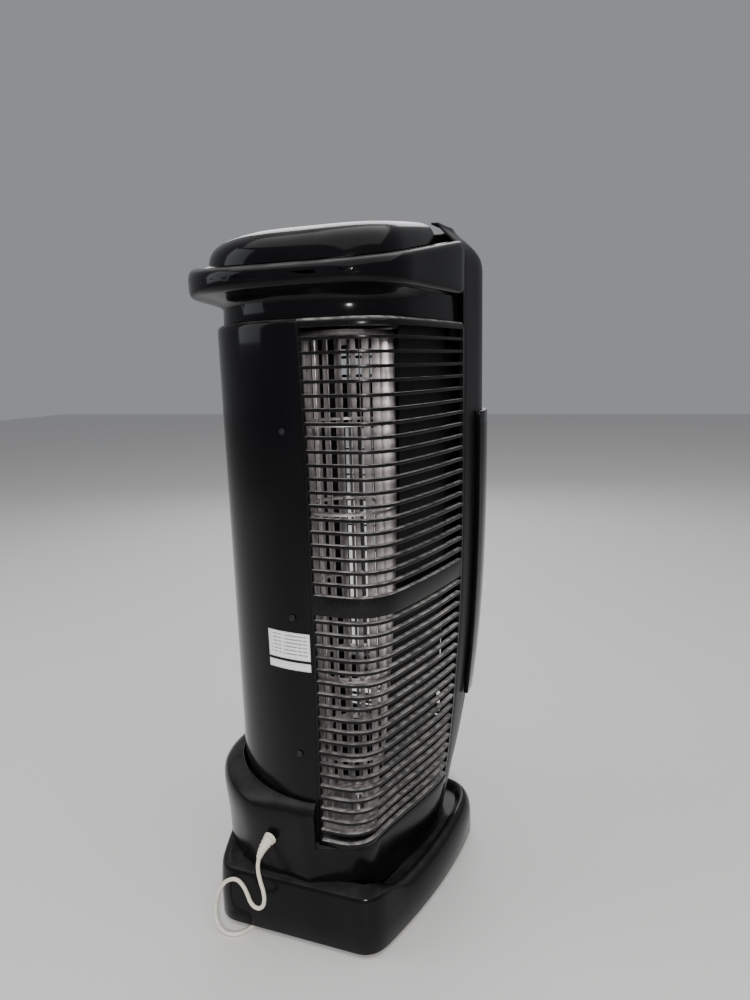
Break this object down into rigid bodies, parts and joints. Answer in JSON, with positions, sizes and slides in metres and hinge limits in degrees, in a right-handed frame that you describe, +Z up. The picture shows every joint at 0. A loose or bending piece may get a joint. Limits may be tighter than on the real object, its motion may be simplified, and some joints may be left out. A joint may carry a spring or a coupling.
{
  "type": "tower fan",
  "caption": "Tall floor-standing tower fan: black column on a flared foot, barred side intake, cross-flow wheel, swinging front vanes, sloping top and a coiled mains lead.",
  "frame": {"origin": "middle of the fan's footprint box on the floor, without the mains lead", "axes": "+Z up along the column, -Y out of the front where the air leaves, +X towards the round flank, away from the barred side"},
  "size_m": [0.3514, 0.4618, 0.89],
  "materials": {
    "black_rubber": "matt",
    "bright_steel": "polished",
    "galvanised_steel": "galvanised",
    "gloss_black_plastic": "gloss",
    "grey_plastic": "satin",
    "ivory_pvc": "satin",
    "satin_black_plastic": "satin",
    "sintered_bronze": "satin",
    "white_label": "satin"
  },
  "bodies": {
    "stand": {"baffle_wall": "satin_black_plastic", "bottom_plate": "galvanised_steel", "capacitor": "grey_plastic", "control_panel": "satin_black_plastic", "cord_coil": "ivory_pvc", "cord_gland": "ivory_pvc", "dome_lid": "gloss_black_plastic", "floor_plate": "galvanised_steel", "foot": "gloss_black_plastic", "front_frame": "satin_black_plastic", "head_housing": "gloss_black_plastic", "intake_grille": "gloss_black_plastic", "louvre_cassette": "gloss_black_plastic", "lower_housing": "gloss_black_plastic", "mains_cord": "ivory_pvc", "motor": "galvanised_steel", "motor_cradle": "black_rubber", "outlet_slats_lower": "satin_black_plastic", "outlet_slats_upper": "satin_black_plastic", "pad_front_left": "black_rubber", "pad_front_right": "black_rubber", "pad_rear_left": "black_rubber", "pad_rear_right": "black_rubber", "plug": "ivory_pvc", "rating_label": "white_label", "rear_screw_1": "bright_steel", "rear_screw_2": "bright_steel", "rear_screw_3": "bright_steel", "rear_shell": "gloss_black_plastic", "scroll_wall": "satin_black_plastic", "serial_label": "white_label", "speed_switch": "grey_plastic", "swing_bracket": "galvanised_steel", "swing_motor": "galvanised_steel", "timer_movement": "grey_plastic", "top_bearing": "sintered_bronze", "top_plate": "galvanised_steel", "vane_rail_lower": "satin_black_plastic", "vane_rail_upper": "satin_black_plastic"},
    "rotor": {"wheel": "galvanised_steel", "wheel_end_top": "galvanised_steel", "wheel_end_bottom": "galvanised_steel", "wheel_pin": "bright_steel", "motor_shaft": "bright_steel"},
    "vane_1": {"vane_1": "satin_black_plastic"},
    "vane_2": {"vane_2": "satin_black_plastic"},
    "vane_3": {"vane_3": "satin_black_plastic"},
    "vane_4": {"vane_4": "satin_black_plastic"},
    "vane_5": {"vane_5": "satin_black_plastic"},
    "vane_6": {"vane_6": "satin_black_plastic"},
    "vane_7": {"vane_7": "satin_black_plastic"},
    "link": {"vane_link": "grey_plastic"},
    "crank": {"swing_crank": "grey_plastic"},
    "speed": {"speed_knob": "satin_black_plastic"},
    "timer": {"timer_knob": "satin_black_plastic"},
    "button": {"swing_button": "grey_plastic"}
  },
  "joints": [
    {"name": "wheel_spin", "type": "hinge", "parent": "stand", "child": "rotor", "pos_m": [-0.0203, 0.0154, 0.4245], "axis": [0, 0, 1], "continuous": true},
    {"name": "vane_1_swing", "type": "hinge", "parent": "stand", "child": "vane_1", "pos_m": [-0.0879, -0.1246, 0.4445], "axis": [0, 0, 1], "range_deg": [-30, 30]},
    {"name": "vane_2_swing", "type": "hinge", "parent": "stand", "child": "vane_2", "pos_m": [-0.0617, -0.1246, 0.4445], "axis": [0, 0, 1], "range_deg": [-30, 30]},
    {"name": "vane_3_swing", "type": "hinge", "parent": "stand", "child": "vane_3", "pos_m": [-0.0355, -0.1246, 0.4445], "axis": [0, 0, 1], "range_deg": [-30, 30]},
    {"name": "vane_4_swing", "type": "hinge", "parent": "stand", "child": "vane_4", "pos_m": [-0.0093, -0.1246, 0.4445], "axis": [0, 0, 1], "range_deg": [-30, 30]},
    {"name": "vane_5_swing", "type": "hinge", "parent": "stand", "child": "vane_5", "pos_m": [0.0169, -0.1246, 0.4445], "axis": [0, 0, 1], "range_deg": [-30, 30]},
    {"name": "vane_6_swing", "type": "hinge", "parent": "stand", "child": "vane_6", "pos_m": [0.0431, -0.1246, 0.4445], "axis": [0, 0, 1], "range_deg": [-30, 30]},
    {"name": "vane_7_swing", "type": "hinge", "parent": "stand", "child": "vane_7", "pos_m": [0.0693, -0.1246, 0.4445], "axis": [0, 0, 1], "range_deg": [-30, 30]},
    {"name": "link_slide", "type": "slide", "parent": "stand", "child": "link", "axis": [1, 0, 0], "range_m": [-0.005, 0.005]},
    {"name": "crank_turn", "type": "hinge", "parent": "stand", "child": "crank", "pos_m": [-0.0093, -0.1051, 0.26], "axis": [0, 0, 1], "range_deg": [-90, 90]},
    {"name": "speed_turn", "type": "hinge", "parent": "stand", "child": "speed", "pos_m": [-0.0673, -0.0796, 0.8616], "axis": [0, 0.1961, 0.9806], "range_deg": [-270, 0]},
    {"name": "timer_turn", "type": "hinge", "parent": "stand", "child": "timer", "pos_m": [0.0487, -0.0796, 0.8616], "axis": [0, 0.1961, 0.9806], "range_deg": [-300, 0]},
    {"name": "button_press", "type": "slide", "parent": "stand", "child": "button", "axis": [0, -0.1961, -0.9806], "range_m": [0, 0.003], "stiffness_N_per_m": 250, "springref_m": -0.0008}
  ],
  "couplings": [
    {"joint": "vane_1_swing", "follows": "link_slide", "rad_per_m": -104.72},
    {"joint": "vane_2_swing", "follows": "link_slide", "rad_per_m": -104.72},
    {"joint": "vane_3_swing", "follows": "link_slide", "rad_per_m": -104.72},
    {"joint": "vane_4_swing", "follows": "link_slide", "rad_per_m": -104.72},
    {"joint": "vane_5_swing", "follows": "link_slide", "rad_per_m": -104.72},
    {"joint": "vane_6_swing", "follows": "link_slide", "rad_per_m": -104.72},
    {"joint": "vane_7_swing", "follows": "link_slide", "rad_per_m": -104.72},
    {"joint": "crank_turn", "follows": "link_slide", "rad_per_m": -314.16}
  ]
}
